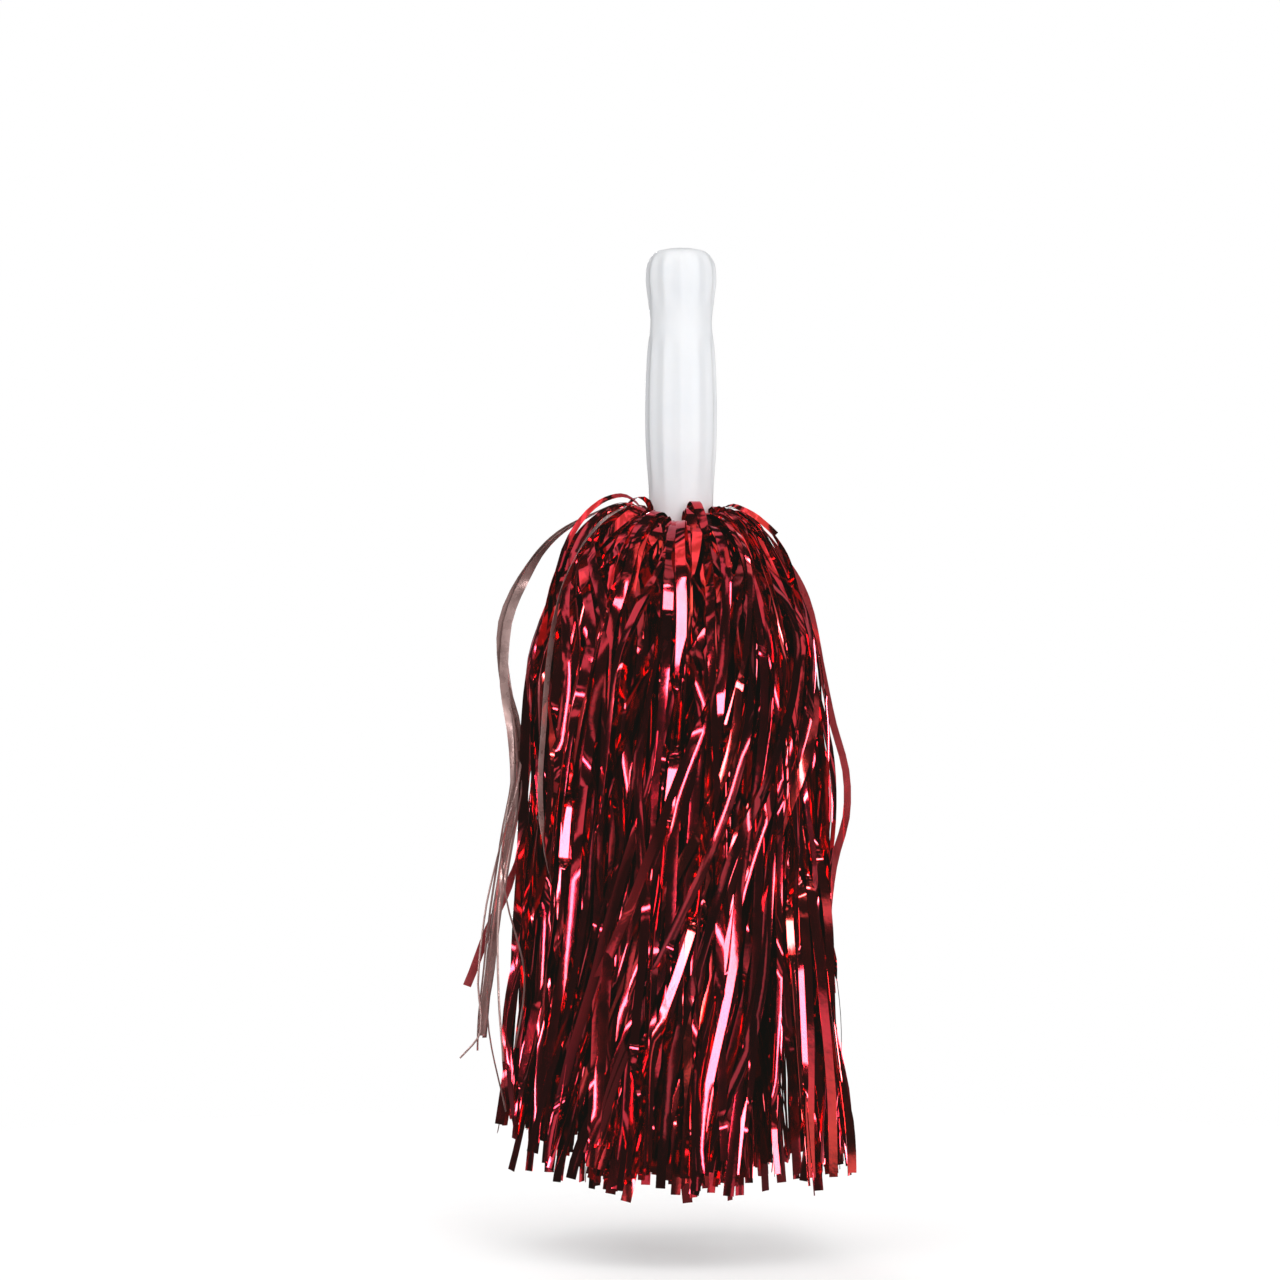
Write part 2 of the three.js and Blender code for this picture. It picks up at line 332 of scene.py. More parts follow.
def place_strip(rng, path, turn, drift, clump, settled):
    """Wraps a (radius, z) path round the axis and lets it sway.

    turn is the azimuth at the root, the azimuth below, and the arc lengths where it starts and ends changing.
    drift is how far it then goes round on its way down, and the arc lengths likewise.
    """
    s = along(path)
    free = smoothstep((s - settled) / 90)
    root, lane, start, end = turn
    turned = root + (lane - root) * smoothstep((s - start) / (end - start))
    far, start, end = drift
    turned = turned + far * smoothstep((s - start) / (end - start))
    across = wobble(rng, s, (120, 260), 1.7) + clump[0]
    outward = wobble(rng, s, (110, 240), 1.1) + clump[1]
    radius = path[:, 0] + outward * free
    turned = turned + across * free / np.maximum(path[:, 0], 22)
    return np.stack([radius * np.cos(turned), radius * np.sin(turned), path[:, 1]], axis=1)


def mouth_root(rng, inside, crest):
    """(radius, z) from the rolled headers, round the handle's lower edge and up to the crest."""
    return [(inside, MOUTH_Z + 5), (inside + 0.2, MOUTH_Z + 0.6),
            (10.9, MOUTH_Z - 2.2 - rng.uniform(0, 1.5)), (13.6 + rng.uniform(0, 0.8), MOUTH_Z + 0.8),
            ((13.9 + crest[0]) / 2 - 0.5, crest[1] - 2.2)]


def film_slot(rng):
    """Mostly the plain red, some darker and some brighter."""
    return int(rng.choice(3, p=(0.6, 0.22, 0.18)))


def sways(rng, count):
    """Sideways and outward sway over arc length for each clump, and a share that says how far it drifts."""
    grid = np.arange(0, 420.0)
    return [(wobble(rng, grid, (170, 260), 3.2), wobble(rng, grid, (150, 240), 2.4), rng.uniform(0, 1))
            for _ in range(count)]


def outer_lock(rng, film, azimuth, drift):
    """The outer strips of one sector. drift is the least and the most they go round on their way down."""
    clumps = sways(rng, CLUMPS)
    for i in range(OUTER_STRIPS):
        own = azimuth + SECTOR * ((i + rng.uniform(0.1, 0.9)) / OUTER_STRIPS - 0.5)
        wild = i % 4 == 2
        settled = 24
        if wild:
            # It leaves the mouth well to one side and crosses the others on its way down.
            root_azimuth = own + rng.choice((-1, 1)) * math.radians(rng.uniform(14, 46))
            turn = (root_azimuth, own, settled - 6, settled + rng.uniform(45, 95))
            share = rng.uniform(0.98, 1.04)
            crest = (rng.uniform(18, 25), by_azimuth(CRESTS, root_azimuth) + rng.uniform(-3, 2))
            settled = 20
        else:
            root_azimuth = own + rng.normal(0, math.radians(15))
            turn = (root_azimuth, own, settled - 14, settled + rng.uniform(14, 46))
            share = 1 - 0.5 * rng.uniform() ** 1.6
            crest = (rng.uniform(16.5, 22), by_azimuth(CRESTS, root_azimuth) - rng.uniform(0, 5))
        share *= 1 - LEFT_FULLNESS * math.cos(own)
        tip = by_azimuth(TIPS, own) + rng.normal(0, 3.0) - (5 if rng.uniform() < 0.1 else 0)
        right = (1 + math.cos(own)) / 2
        line = np.array(OUTER_FALL) * (1 - right) + np.array(RIGHT_FALL) * right
        path = fall_line(line, mouth_root(rng, rng.uniform(7.4, 9.2), crest), crest, share, tip)
        lane = clumps[int((i + rng.uniform(-0.7, 0.7)) / OUTER_STRIPS * len(clumps)) % len(clumps)]
        clump = [np.interp(along(path), np.arange(len(lane[0])), part) for part in lane[:2]]
        far = rng.normal(0, math.radians(2)) + drift[0] + (drift[1] - drift[0]) * (1.1 if wild else lane[2])
        swing = (far, settled + rng.uniform(30, 60), rng.uniform(250, 320) if wild else 350)
        points = place_strip(rng, path, turn, swing, clump, settled)
        # Facets are shorter on the left, where the strips are more crumpled.
        longest = float(np.interp(math.cos(own), (-0.8, 0.2), (60, 140)))
        stations = dress(rng, points, settled, rng.normal(0, TWIST), 0.25, longest)
        film.ribbon(*stations, STRIP_WIDTH * rng.uniform(0.9, 1.12), film_slot(rng))


def facing(point, lights):
    """The heading that throws the nearest of the lights at the camera, as an azimuth."""
    own = math.atan2(point[1], point[0])
    to_camera = math.atan2(CAMERA_SPOT[1] - point[1], CAMERA_SPOT[0] - point[0])
    headings = []
    for azimuth, distance in lights:
        turn = math.radians(azimuth)
        spot = distance * math.cos(turn), distance * math.sin(turn)
        headings.append((to_camera + math.atan2(spot[1] - point[1], spot[0] - point[0])) / 2)
    return min(headings, key=lambda heading: abs(heading - own))


def flat_stretch(points, lit, lights):
    """The arc lengths between the two heights in lit, and the heading that catches the light there."""
    s = along(points)
    fallen = np.arange(len(s)) > 40
    ends = [np.interp(-z, -points[fallen, 2], s[fallen], right=s[-1] + 20) for z in lit]
    middle_point = points[int(np.argmin(np.abs(s - sum(ends) / 2)))]
    return *ends, facing(middle_point, lights)


def gleam(rng, film, shade, width, way, lit):
    """A strip on the outside of the front that has one long flat stretch.

    shade is the place of its film in RED_FILM, width a share of the full width, way where it hangs, as
    (x, z), and lit the heights between which it lies flat and catches the light.
    """
    line, share = (PROUD_FALL, 1.0) if lit[0] > -170 else (OUTER_FALL, GLEAM_SHARE)
    radius, height = np.array(line, float).T
    azimuth = [-math.pi / 2 + math.asin(x / np.interp(-z, -height, radius * share)) for x, z in way]
    crest = (20, by_azimuth(CRESTS, azimuth[0]) - 1)
    tip = by_azimuth(TIPS, azimuth[-1]) + rng.normal(0, 3.0)
    path = fall_line(line, mouth_root(rng, 8.4, crest), crest, share, tip)
    soft = np.interp(-path[:, 1], [-z for _, z in way], azimuth)
    soft = np.convolve(np.pad(soft, 12, mode="edge"), np.ones(25) / 25, mode="valid")
    points = np.stack([path[:, 0] * np.cos(soft), path[:, 0] * np.sin(soft), path[:, 1]], axis=1)
    twist = rng.normal(0, TWIST)
    stations = dress(rng, points, 20, twist, 0.3, 90, flat_stretch(points, lit, FRONT_LIGHTS))
    film.ribbon(*stations, STRIP_WIDTH * width, shade)


def inner_lock(rng, film, azimuth):
    """The strips of one sector that hang inside the outer ones."""
    lane = sways(rng, 1)[0]
    for i in range(INNER_STRIPS):
        own = azimuth + SECTOR * ((i + rng.uniform(0.1, 0.9)) / INNER_STRIPS - 0.5)
        inside = rng.uniform(5.2, 7)
        crest = (inside + rng.uniform(4, 6), MOUTH_Z - 5 - rng.uniform(0, 2))
        root = [(inside, MOUTH_Z + 5), (inside + 0.3, MOUTH_Z - 1), (inside + 2.2, MOUTH_Z - 4.2)]
        path = fall_line(INNER_FALL, root, crest, rng.uniform(0.35, 1.2), INNER_TIP + rng.normal(0, 3.5))
        settled = 14
        clump = [np.interp(along(path), np.arange(len(lane[0])), part) for part in lane[:2]]
        turn = (own + rng.normal(0, math.radians(6)), own, 0, settled + 20)
        points = place_strip(rng, path, turn, (0.0, 0, 1), clump, settled)
        stations = dress(rng, points, settled, rng.normal(0, TWIST), 0.25)
        film.ribbon(*stations, STRIP_WIDTH * rng.uniform(0.9, 1.08), film_slot(rng))


def stray(rng, film, azimuth, lane, line, twist, width, flat=None):
    """A strip that leaves the mouth, follows line, (radius, z), and hangs apart from the fringe.

    It goes round from azimuth to lane halfway down. flat is the heights between which it lies flat and
    faces the front.
    """
    root = [(8.6, MOUTH_Z + 5), (8.8, MOUTH_Z + 0.6), (10.9, MOUTH_Z - 2.6), (14, MOUTH_Z + 0.8),
            (16, -97.5)]
    points = place_strip(rng, through(root + line), (azimuth, lane, 120, 210), (0.0, 0, 1), (0, 0), 40)
    faced = None
    if flat:
        start, end, heading = flat_stretch(points, flat, [UNLIT_SPOT])
        # Either side of the film will do, so the one that needs less twist is turned to the front.
        faced = start, end, heading + math.pi * round((lane - math.radians(twist) - heading) / math.pi)
    film.ribbon(*dress(rng, points, 40, math.radians(twist), 0.3, faced=faced), width, 0)


# ---- Materials -----------------------------------------------------------------------------------
def nodes_of(name):
    """A new material, its node tree and its main shader."""
    material = bpy.data.materials.new(name)
    material.use_nodes = True
    tree = material.node_tree
    return material, tree, tree.nodes["Principled BSDF"]


def add_node(tree, kind, **settings):
    """A new node. Each setting is an input if the node has one of that name, and a property otherwise."""
    node = tree.nodes.new(kind)
    for key, value in settings.items():
        if key in node.inputs:
            node.inputs[key].default_value = value
        else:
            setattr(node, key, value)
    return node


def noise(tree, scale, detail=3.0, rough=0.5, stretch=None):
    """Noise over the object's own coordinates, in cycles per metre."""
    place = add_node(tree, "ShaderNodeTexCoord")
    texture = add_node(tree, "ShaderNodeTexNoise", Scale=scale, Detail=detail, Roughness=rough)
    source = place.outputs["Object"]
    if stretch:
        mapping = add_node(tree, "ShaderNodeMapping")
        mapping.inputs["Scale"].default_value = stretch
        tree.links.new(source, mapping.inputs["Vector"])
        source = mapping.outputs["Vector"]
    tree.links.new(source, texture.inputs["Vector"])
    return texture.outputs["Fac"]


def spread(tree, value, low, high, start=0.3, end=0.7):
    """Maps a noise value from start..end to low..high."""
    node = add_node(tree, "ShaderNodeMapRange")
    node.inputs["From Min"].default_value = start
    node.inputs["From Max"].default_value = end
    node.inputs["To Min"].default_value = low
    node.inputs["To Max"].default_value = high
    tree.links.new(value, node.inputs["Value"])
    return node.outputs["Result"]


def mix_colours(tree, share, one, other):
    """A colour between the two, by share."""
    node = add_node(tree, "ShaderNodeMix", data_type="RGBA")
    node.inputs["A"].default_value = (*one, 1)
    node.inputs["B"].default_value = (*other, 1)
    tree.links.new(share, node.inputs["Factor"])
    return node.outputs["Result"]


def bump(tree, shader, height, strength, distance):
    """Raises the shader's surface by height, up to distance in metres."""
    node = add_node(tree, "ShaderNodeBump", Strength=strength, Distance=distance)
    tree.links.new(height, node.inputs["Height"])
    tree.links.new(node.outputs["Normal"], shader.inputs["Normal"])


def foil(name, one, other, roughness=0.08):
    """Dyed metallised film: a mirror tinted by the dye under a clear lacquer, finely wrinkled."""
    material, tree, shader = nodes_of(name)
    share = spread(tree, noise(tree, 55, stretch=(1, 1, 0.35)), 0, 1, 0.38, 0.62)
    tree.links.new(mix_colours(tree, share, one, other), shader.inputs["Base Color"])
    shader.inputs["Metallic"].default_value = 1.0
    shader.inputs["Specular Tint"].default_value = (1.0, 0.5, 0.58, 1)  # the dye still shows at a slant
    shade = spread(tree, noise(tree, 140), roughness * 0.7, roughness * 1.5)
    tree.links.new(shade, shader.inputs["Roughness"])
    shader.inputs["Coat Weight"].default_value = 0.35
    shader.inputs["Coat Roughness"].default_value = 0.06
    shader.inputs["Coat IOR"].default_value = 1.6
    bump(tree, shader, noise(tree, 420, detail=2), 0.025, 0.001)
    return material


def moulded_plastic():
    """The handle's white: slightly cloudy, faintly pitted and a little translucent."""
    material, tree, shader = nodes_of("moulded_white_plastic")
    cloud = spread(tree, noise(tree, 60), 0, 1)
    tree.links.new(mix_colours(tree, cloud, (0.83, 0.85, 0.88), (0.87, 0.88, 0.90)),
                   shader.inputs["Base Color"])
    tree.links.new(spread(tree, noise(tree, 260), 0.42, 0.56), shader.inputs["Roughness"])
    shader.inputs["Subsurface Weight"].default_value = 0.12
    shader.inputs["Subsurface Radius"].default_value = (0.0022, 0.0020, 0.0018)
    bump(tree, shader, noise(tree, 900, detail=4), 0.04, 0.0004)
    return material


def worn_film(name, one, other):
    """Film that has lost most of its metal: cloudy and half dull."""
    material, tree, shader = nodes_of(name)
    share = spread(tree, noise(tree, 70, stretch=(1, 1, 0.3)), 0, 1, 0.4, 0.6)
    tree.links.new(mix_colours(tree, share, one, other), shader.inputs["Base Color"])
    tree.links.new(spread(tree, noise(tree, 160), 0.15, 0.6), shader.inputs["Metallic"])
    tree.links.new(spread(tree, noise(tree, 240), 0.2, 0.42), shader.inputs["Roughness"])
    bump(tree, shader, noise(tree, 420, detail=2), 0.04, 0.001)
    return material


def plain_plastic(name, one, other, roughness):
    """Smooth plastic with slight clouds, for the peg and the tape inside the mouth."""
    material, tree, shader = nodes_of(name)
    tree.links.new(mix_colours(tree, spread(tree, noise(tree, 200), 0, 1), one, other),
                   shader.inputs["Base Color"])
    tree.links.new(spread(tree, noise(tree, 600), roughness * 0.8, roughness * 1.2),
                   shader.inputs["Roughness"])
    bump(tree, shader, noise(tree, 1500), 0.08, 0.0003)
    return material


def wire_metal():
    """Soft steel with drawn-wire dullness."""
    material, tree, shader = nodes_of("soft_steel_wire")
    cloud = spread(tree, noise(tree, 500), 0, 1)
    tree.links.new(mix_colours(tree, cloud, (0.50, 0.50, 0.51), (0.62, 0.62, 0.63)),
                   shader.inputs["Base Color"])
    shader.inputs["Metallic"].default_value = 1.0
    tree.links.new(spread(tree, noise(tree, 1200), 0.25, 0.45), shader.inputs["Roughness"])
    return material


RED_FILM = [
    foil("film_red", (0.56, 0.013, 0.024), (0.50, 0.010, 0.032)),
    foil("film_deep_red", (0.36, 0.009, 0.018), (0.30, 0.008, 0.022)),
    foil("film_bright_red", (0.74, 0.044, 0.034), (0.64, 0.021, 0.040)),
]
PALE_FILM = [worn_film("film_pale", (0.44, 0.29, 0.27), (0.27, 0.16, 0.15))]
FADED_FILM = [worn_film("film_faded_red", (0.58, 0.085, 0.10), (0.42, 0.045, 0.055))]

# ---- Handle --------------------------------------------------------------------------------------
# Radius over the rib crests, from the end knob down to the mouth; the same line as the CAD shell's.
GRIP_LINE = [(4.5, 0), (9.4, -1.3), (12.4, -5), (13.3, -11), (12.5, -19.4), (11.6, -27.5), (12.7, -38.5),
             (13.4, -53), (13.5, -68), (13.1, -79), (12.4, -88), (12.1, -96), (12.1, MOUTH_Z)]
BORE_LINE = [(10.3, MOUTH_Z), (10.3, MOUTH_Z + 24), (11.1, -70), (11.1, -50), (9.9, -27.5),
             (10.5, -12), (7, -3)]
END_WALL = 1.7  # how thick the closed end is


def handle():
    """The handle: a hollow turned shell, closed at the top, with flutes over the knob and the barrel."""
    outside = through(GRIP_LINE, 0.7)
    inside = through(BORE_LINE, 2.0)
    lip = [(11.95, MOUTH_Z - 0.15), (11.5, MOUTH_Z - 0.3), (10.9, MOUTH_Z - 0.3), (10.45, MOUTH_Z - 0.15)]
    rows = np.array([*outside, *lip, *inside])
    columns = RIBS * 16
    turn = np.arange(columns) * 2 * math.pi / columns
    groove = (0.5 - 0.5 * np.cos(RIBS * turn)) ** 0.8
    z = rows[:, 1]
    # The flutes fade out at the waist and at both ends.
    knob = smoothstep((z + 26) / 10) * (1 - smoothstep((z + 6) / 5))
    barrel = smoothstep((z + 97) / 16) * (1 - smoothstep((z + 39) / 8))
    strength = (knob + barrel) * (np.arange(len(rows)) < len(outside))
    radius = rows[:, :1] - RIB_HEIGHT * strength[:, None] * groove[None, :]
    height = np.repeat(z[:, None], columns, 1)
    wall = np.stack([radius * np.cos(turn), radius * np.sin(turn), height], axis=2)
    vertices = [*wall.reshape(-1, 3), (0, 0, 0), (0, 0, -END_WALL)]
    faces = []
    for i in range(len(rows) - 1):
        for j in range(columns):
            a, b = i * columns + j, i * columns + (j + 1) % columns
            faces.append((a, a + columns, b + columns, b))
    top, under = len(vertices) - 2, len(vertices) - 1
    last = (len(rows) - 1) * columns
    for j in range(columns):
        n = (j + 1) % columns
        faces.append((top, j, n))
        faces.append((under, last + n, last + j))
    obj = new_object("handle_grip", vertices, faces, [moulded_plastic()])
    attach(obj, "handle")
    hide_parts("handle_shell")


handle()


# ---- Rolled headers inside the mouth ---------------------------------------------------------------
HEADERS = 4
ROLL_RADIUS, ROLL_STEP, ROLL_WALL = 7.97, 0.95, 0.25


def header_roll(number):
    """One film sheet's uncut band, rolled up: a thin wavy wall that ends just above the mouth."""
    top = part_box(f"film_header_{number}")[1].z / MM
    bottom = MOUTH_Z + 2.2
    rng = np.random.default_rng(500 + number)
    radius = ROLL_RADIUS - (number - 1) * ROLL_STEP
    columns, rows = 96, 14
    turn = np.arange(columns) * 2 * math.pi / columns
    waves = sum(rng.normal(0, 0.05) * np.sin(n * turn + rng.uniform(0, 6.3)) for n in (5, 9, 14, 23))
    heights = np.linspace(top, bottom, rows)
    vertices = []
    for inner in (0, 1):
        for z in heights:
            r = radius + waves * (1 + 0.6 * math.sin(z * 1.7)) - inner * ROLL_WALL
            vertices += [(a * math.cos(t), a * math.sin(t), z) for a, t in zip(r, turn)]
    faces = []
    shell = rows * columns
    for i in range(rows - 1):
        for j in range(columns):
            a, b = i * columns + j, i * columns + (j + 1) % columns
            faces.append((a, a + columns, b + columns, b))
            faces.append((shell + b, shell + b + columns, shell + a + columns, shell + a))
    for j in range(columns):
        n = (j + 1) % columns
        base = (rows - 1) * columns
        faces.append((j, n, shell + n, shell + j))
        faces.append((base + n, base + j, shell + base + j, shell + base + n))
    obj = new_object(f"header_roll_{number}", vertices, faces, [RED_FILM[0]])
    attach(obj, "handle")
    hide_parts(f"film_header_{number}")


for header in range(1, HEADERS + 1):
    header_roll(header)


def finish_node(node, material):
    """Gives a CAD node whose shape is right its finished material."""
    slots = frame["nodes"][node].data.materials
    slots.clear()
    slots.append(material)


finish_node("fringe_peg", plain_plastic("natural_plastic", (0.74, 0.75, 0.74), (0.80, 0.80, 0.78), 0.45))
finish_node("tape_wrap", plain_plastic("clear_tape", (0.62, 0.55, 0.38), (0.70, 0.63, 0.46), 0.18))
finish_node("tie_wire", wire_metal())


# ---- Fringe --------------------------------------------------------------------------------------
def across_fold(obj, lock, start, end):
    """Bakes the object's placement into its mesh. lock is not used, and neither are start and end, both
    (radius, z).
    """
    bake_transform(obj)


# The least and the most that the strips of each outer lock have drifted round the handle by their
# tips, in degrees. On the front they sweep from the right down to the left.
DRIFT = {1: (7, -12), 2: (-8, 8), 3: (-4, 16), 4: (8, -12), 5: (12, -8), 6: (4, -16), 7: (-6, 8),
         8: (4, -8), 9: (-5, -22), 10: (-14, -44), 11: (-18, -62), 12: (0, -52)}

# Strips of the front locks that lie flat for a while, by lock. Each row is what gleam takes: the film's
# shade, the share of the full width, where the strip hangs and the heights between which it is lit.
GLEAMS = {
    9: [(0, 1.0, [(-20, -125), (-27, -140), (-30, -230)], (-131, -136)),
        (0, 1.0, [(-20, -130), (-22.8, -172), (-30, -260)], (-170, -174)),
        (2, 1.0, [(-30, -140), (-44, -205), (-47, -240)], (-205, -232))],
    10: [(0, 1.0, [(-1, -115), (0, -132), (-1, -164), (-6, -260)], (-130, -164)),
         (1, 1.0, [(-5, -115), (-5.8, -133), (-10, -220)], (-128, -137)),
         (0, 1.0, [(3, -120), (-1.8, -188), (-5, -215), (-12, -260)], (-189, -214)),
         (0, 0.9, [(-4, -130), (-11, -215), (-13, -238), (-18, -290)], (-219, -237)),
         (2, 0.8, [(12, -150), (6, -244), (-12, -294)], (-250, -286))],
    11: [(0, 1.0, [(16, -125), (13.8, -172), (4, -260)], (-166, -175)),
         (2, 0.9, [(25, -130), (22.7, -164), (16.5, -181), (2, -250)], (-163, -182)),
         (0, 0.85, [(34, -150), (27, -227), (14.6, -274), (6, -310)], (-226, -276)),
         (0, 0.8, [(32, -170), (19.2, -270), (10, -308), (6, -330)], (-266, -310))],
    12: [(2, 0.8, [(36, -140), (41, -246), (43, -280)], (-246, -266)),
         (0, 0.6, [(40, -150), (45.3, -257), (48, -320)], (-262, -312)),
         (0, 0.6, [(34, -150), (38, -260), (33.6, -326), (37, -353)], (-322, -350))],
}

# Strips that have sprung out of the fringe. Each row has their lock, film, slot, twist in degrees, angles
# off the lock's middle, the heights between which they lie flat, and their line as (radius, z).
PALE_LINE = [(20, -96), (34, -100.5), (47, -108.5), (59, -124), (66.5, -142), (66.5, -160), (62.3, -182),
             (62.4, -206)]
STRAYS = [
    (7, PALE_FILM, "pale_film", 55, (0, 2.5, -4), None, [*PALE_LINE, (66, -222), (70, -246), (74, -297)]),
    (7, FADED_FILM, "red_film", 40, (-8,), (-236, -300),
     [(20, -96), (31, -101), (44, -125), (54, -170), (60.5, -206), (62, -226), (67, -242), (74, -256),
      (82.5, -279)]),
    (1, FADED_FILM, "red_film", -68, (0,), None,
     [(20, -98), (31, -106), (39, -118), (45.5, -131), (51, -154), (56.5, -178), (62, -199), (62, -213),
      (57.5, -231), (56, -246), (58, -280)]),
    (4, RED_FILM, "red_film", 30, (0,), None,
     [(20, -96), (33, -101), (44, -113), (53, -134), (60, -160), (63, -190), (61.5, -220), (64, -256)]),
    (10, RED_FILM, "red_film", 4, (13,), None,
     [(20, -96), (33, -102), (45, -123), (52, -146), (56, -172), (58, -200), (58, -240), (61, -290),
      (66, -338)]),
    (1, RED_FILM, "red_film", -72, (-13,), None,
     [(20, -98), (31, -103.5), (39, -114), (44, -128), (48.5, -142), (51.5, -156), (54, -175), (56, -200),
      (57, -240), (59, -290), (63, -337)]),
    (8, PALE_FILM, "pale_film", 38, (0,), None,
     [(20, -97), (31, -101), (41, -110), (51, -127), (57, -150), (60.5, -178), (62.5, -206), (60, -226),
      (52, -250), (50, -272)]),
    (12, RED_FILM[2:], "red_film", -30, (-12, -1, 9), (-238, -400),
     [(20, -100), (29, -108), (37, -122), (44, -146), (49, -173), (52, -205), (57.5, -238), (61, -290),
      (66, -346)]),
]

# The first pale strip is split below into hair-thin fibres. Each row has the angle off the lock's middle
# that the fibre goes round to, and how it goes on from PALE_LINE.
FIBRES = [(9, [(68, -224), (74, -250), (77, -276), (77, -296), (84, -304)]),
          (13, [(67, -224), (71, -250), (70, -280), (67.5, -306)]),
          (17, [(66, -222), (67, -246), (64, -270), (67, -300)]),
          (11, [(67, -224), (71, -252), (73, -290), (67.5, -325)]),
          (4, [(66, -222), (73, -252), (75, -282), (76, -302)])]

# Curled strips beside the mouth: one makes a ring at the left of the handle, the others spring up on the
# right and the left. Each row has the lock, twist in degrees, share of the full width and points (x, y, z).
CURLS = [
    (9, 12, 0.7,
     [(-6, -6, -101), (-7.2, -7.4, -106.6), (-8.6, -9, -108.3), (-10.5, -10.8, -106.5), (-11.4, -13, -102),
      (-11.2, -14.5, -98), (-12.8, -15.5, -94.7), (-16, -16, -93.6), (-19, -16.5, -95.6),
      (-19.6, -17.4, -99.2), (-17.2, -18.6, -102.2), (-14.6, -21, -103), (-14.5, -27, -105.5),
      (-17, -37, -114), (-21, -46, -131), (-23, -49, -160), (-26, -50, -215)]),
    (12, 62, 0.6,
     [(7, -5, -101), (8.6, -6.4, -107), (10, -8, -108.4), (11.8, -10, -105), (13.4, -12.4, -99.6),
      (17.5, -15, -96.8), (23, -18, -98.6), (29, -21, -102.4), (34.5, -23, -107.6)]),
    (8, -35, 0.6,
     [(-8, -3, -101), (-9.4, -3.8, -107), (-11, -4.5, -108.4), (-13, -5.4, -104.5), (-15, -6.6, -98.2),
      (-20, -9, -94.3), (-27, -12.5, -95.6), (-34, -16, -101), (-40, -19, -110), (-45, -22, -123)]),
]

azimuths = {}
for joint in frame["joints"]:
    x, y, _ = joint["pos_m"]
    azimuths[joint["child"]] = math.atan2(y, x)


def outer_strips(number):
    """The strips that stand for one outer lock, with its light-catching ones."""
    film = Film()
    lock = f"outer_lock_{number:02d}"
    outer_lock(np.random.default_rng(100 + number), film, azimuths[lock], np.radians(DRIFT[number]))
    for i, row in enumerate(GLEAMS.get(number, [])):
        gleam(np.random.default_rng(1000 + 20 * number + i), film, *row)
    obj = film.build(f"outer_strips_{number:02d}", RED_FILM)
    across_fold(obj, lock, *OUTER_BEND)
    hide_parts(lock)


def inner_strips(number):
    """The strips that stand for one inner lock."""
    film = Film()
    lock = f"inner_lock_{number:02d}"
    inner_lock(np.random.default_rng(200 + number), film, azimuths[lock])
    obj = film.build(f"inner_strips_{number:02d}", RED_FILM)
    across_fold(obj, lock, *INNER_BEND)
    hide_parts(lock)


def stray_strips(place, number, materials, slot, twist, offsets, flat, line):
    """One row of STRAYS. The CAD has a solid for each of the first few, which this stands for."""
    rng = np.random.default_rng(300 + place)
    lock = f"outer_lock_{number:02d}"
    film = Film()
    for offset in offsets:
        azimuth = azimuths[lock] + math.radians(offset)
        stray(rng, film, azimuth, azimuth, line, twist, STRAY_WIDTH, flat)
        if flat:
            flat = (flat[0] + rng.uniform(-22, 22), flat[1])
    if place == 0:
        for offset, lower in FIBRES:
            lane = azimuths[lock] + math.radians(offset)
            stray(rng, film, azimuths[lock], lane, PALE_LINE + lower, twist, FIBRE_WIDTH)
    obj = film.build(f"stray_strip_film_{place + 1}", materials)
    across_fold(obj, lock, *OUTER_BEND)
    if f"stray_strip_{place + 1}" in frame["nodes"]:
        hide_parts(f"stray_strip_{place + 1}")


def curled_strip(place, number, twist, width, points):
    """One row of CURLS. The middle one is of the brighter film."""
    film = Film()
    rng = np.random.default_rng(400 + place)
    stations = dress(rng, through(points, 0.7), 8, math.radians(twist), 0.2)
    film.ribbon(*stations, STRIP_WIDTH * width, 2 * (place % 2))
    obj = film.build(f"curled_strip_film_{place + 1}", RED_FILM)
    across_fold(obj, f"outer_lock_{number:02d}", *OUTER_BEND)


for number in range(1, LOCKS + 1):
    outer_strips(number)
    inner_strips(number)
for place, row in enumerate(STRAYS):
    stray_strips(place, *row)
for place, row in enumerate(CURLS):
    curled_strip(place, *row)


# ---- Floor, light and camera ---------------------------------------------------------------------
FLOOR_GAP = 22


